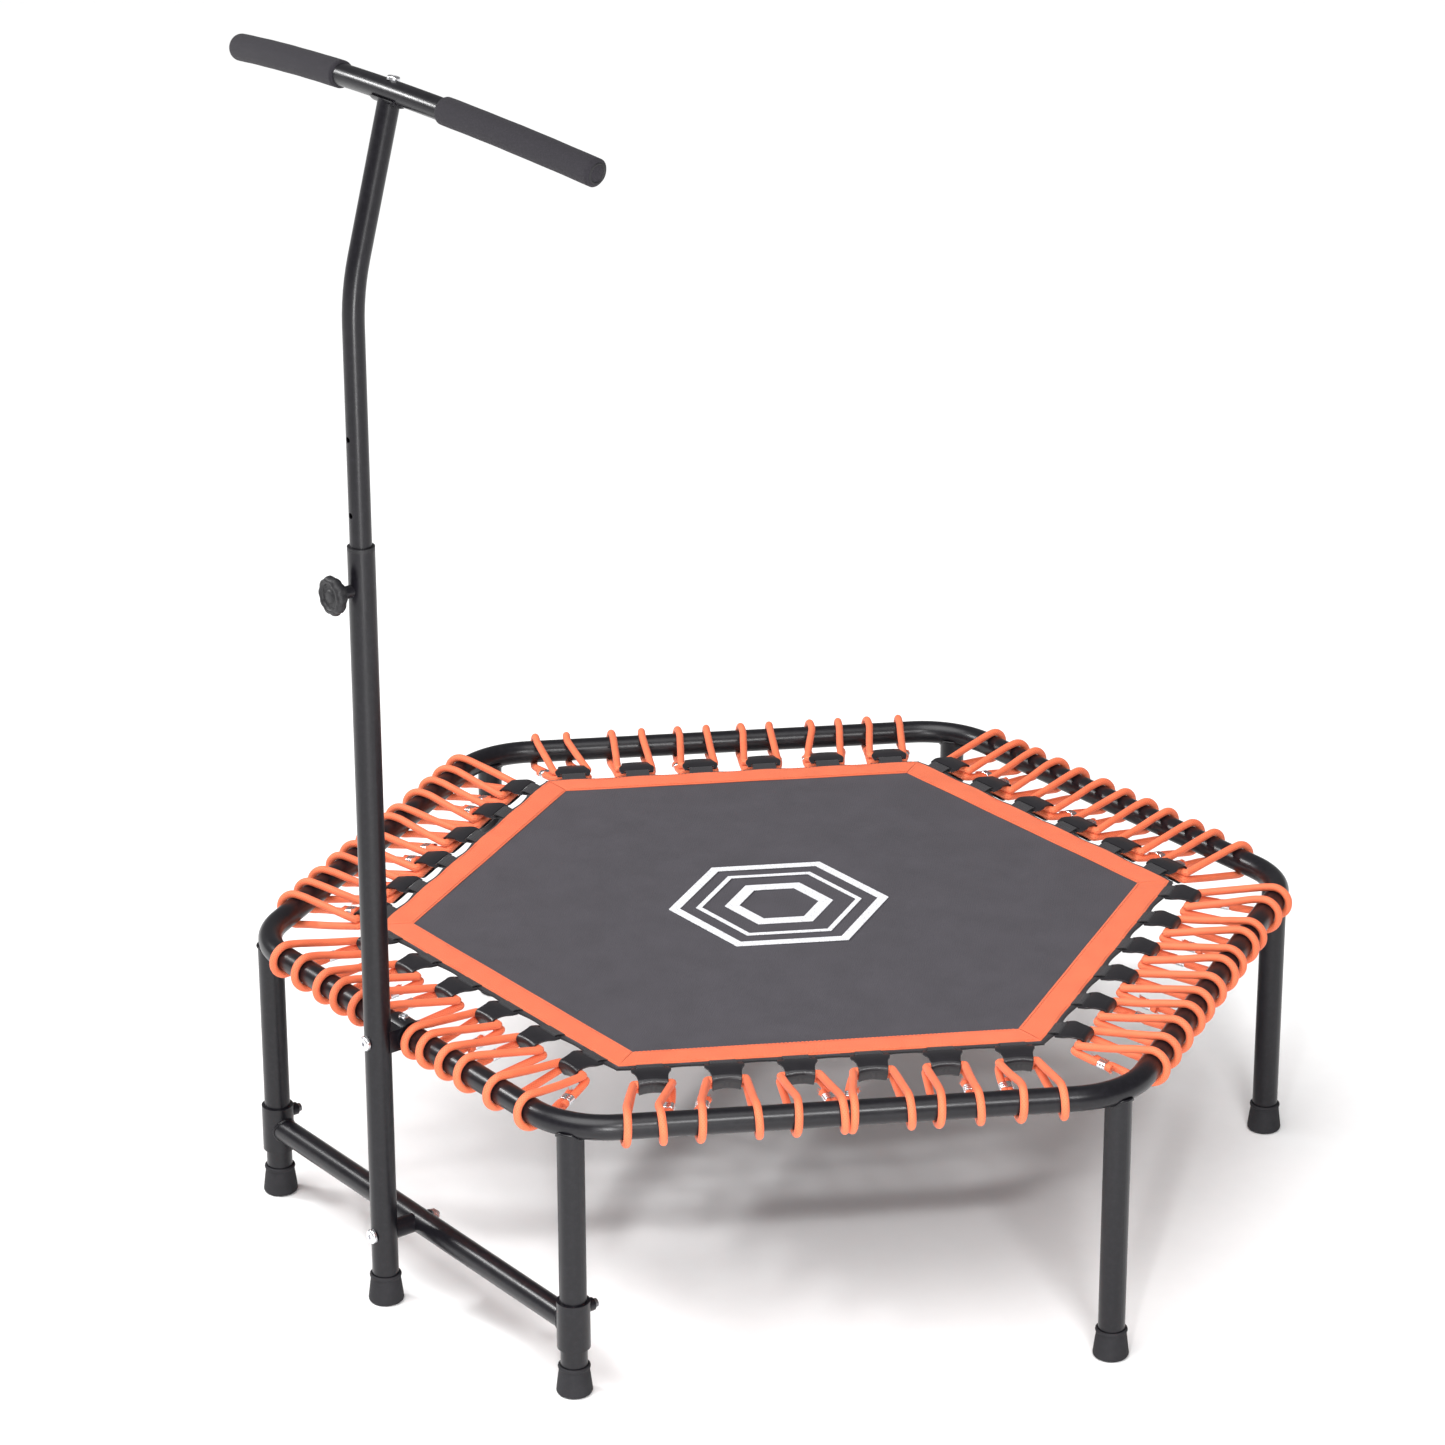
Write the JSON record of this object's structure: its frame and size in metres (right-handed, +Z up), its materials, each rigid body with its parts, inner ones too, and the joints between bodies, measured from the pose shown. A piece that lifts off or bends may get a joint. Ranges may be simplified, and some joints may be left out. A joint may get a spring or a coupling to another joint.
{
  "type": "mini trampoline",
  "caption": "Six-sided mini trampoline with a bungee-hung woven mat and a height-adjustable T-shaped handle on an upright post.",
  "frame": {"origin": "centre of the whole object's footprint, on the floor under its feet", "axes": "+Z up, -Y towards the handle side, X along the handlebar and the front side of the hexagon"},
  "size_m": [1.2286, 1.1576, 1.4037],
  "materials": {
    "powder_coat": "smooth gloss-black powder coat",
    "rubber": "matte moulded rubber",
    "zinc_steel": "bright zinc plate",
    "black_steel": "black oxide",
    "black_plastic": "fine moulded texture",
    "foam": "soft closed-cell foam",
    "mat_weave": "flat woven polypropylene",
    "orange_webbing": "ribbed woven webbing",
    "black_webbing": "woven webbing",
    "clip_plastic": "satin moulded nylon",
    "bungee_cord": "braided sleeve over rubber strands",
    "ferrule_metal": "crimped aluminium"
  },
  "bodies": {
    "frame": {"bungees": "bungee_cord", "clamp_screws": "black_steel", "crossbar": "powder_coat", "crossbar_sleeve_left": "powder_coat", "crossbar_sleeve_right": "powder_coat", "ferrules": "ferrule_metal", "knob_boss": "powder_coat", "leg_1": "powder_coat", "leg_2": "powder_coat", "leg_3": "powder_coat", "leg_4": "powder_coat", "leg_5": "powder_coat", "leg_6": "powder_coat", "leg_foot_1": "rubber", "leg_foot_2": "rubber", "leg_foot_3": "rubber", "leg_foot_4": "rubber", "leg_foot_5": "rubber", "leg_foot_6": "rubber", "leg_sockets": "powder_coat", "leg_studs": "zinc_steel", "post": "powder_coat", "post_bolts": "zinc_steel", "post_bush": "black_plastic", "post_foot": "rubber", "post_nuts": "zinc_steel", "post_spacer": "powder_coat", "post_washers": "zinc_steel", "ring_corner_1": "powder_coat", "ring_corner_2": "powder_coat", "ring_corner_3": "powder_coat", "ring_corner_4": "powder_coat", "ring_corner_5": "powder_coat", "ring_corner_6": "powder_coat", "ring_saddle": "powder_coat", "ring_side_1": "powder_coat", "ring_side_2": "powder_coat", "ring_side_3": "powder_coat", "ring_side_4": "powder_coat", "ring_side_5": "powder_coat", "ring_side_6": "powder_coat", "saddle_screw": "zinc_steel", "sleeve_nuts": "powder_coat"},
    "handle": {"handle_tube": "powder_coat", "handle_glide": "black_plastic", "handle_insert": "zinc_steel", "handle_saddle": "powder_coat", "handle_bolt": "zinc_steel", "handlebar": "powder_coat", "grip_left": "foam", "grip_right": "foam", "bar_caps": "black_plastic"},
    "knob_stud": {"knob_stud": "zinc_steel"},
    "knob": {"knob": "black_plastic"},
    "mat": {"mat": "mat_weave", "mat_border": "orange_webbing", "mat_webbing": "black_webbing", "clips": "clip_plastic", "webbing_loops": "black_webbing"}
  },
  "joints": [
    {"name": "handle_height", "type": "slide", "parent": "frame", "child": "handle", "axis": [0, 0, 1], "range_m": [-0.168, 0]},
    {"name": "knob_travel", "type": "slide", "parent": "frame", "child": "knob_stud", "axis": [0, -1, 0], "range_m": [0, 0.01]},
    {"name": "knob_turn", "type": "hinge", "parent": "knob_stud", "child": "knob", "pos_m": [0, -0.5353, 0.856], "axis": [0, -1, 0], "range_deg": [0, 2880]},
    {"name": "mat_bounce", "type": "slide", "parent": "frame", "child": "mat", "axis": [0, 0, 1], "range_m": [-0.12, 0], "stiffness_N_per_m": 8000, "springref_m": 0.01, "deforming": ["bungees"]}
  ],
  "couplings": [
    {"joint": "knob_turn", "follows": "knob_travel", "rad_per_m": 5026.5}
  ]
}
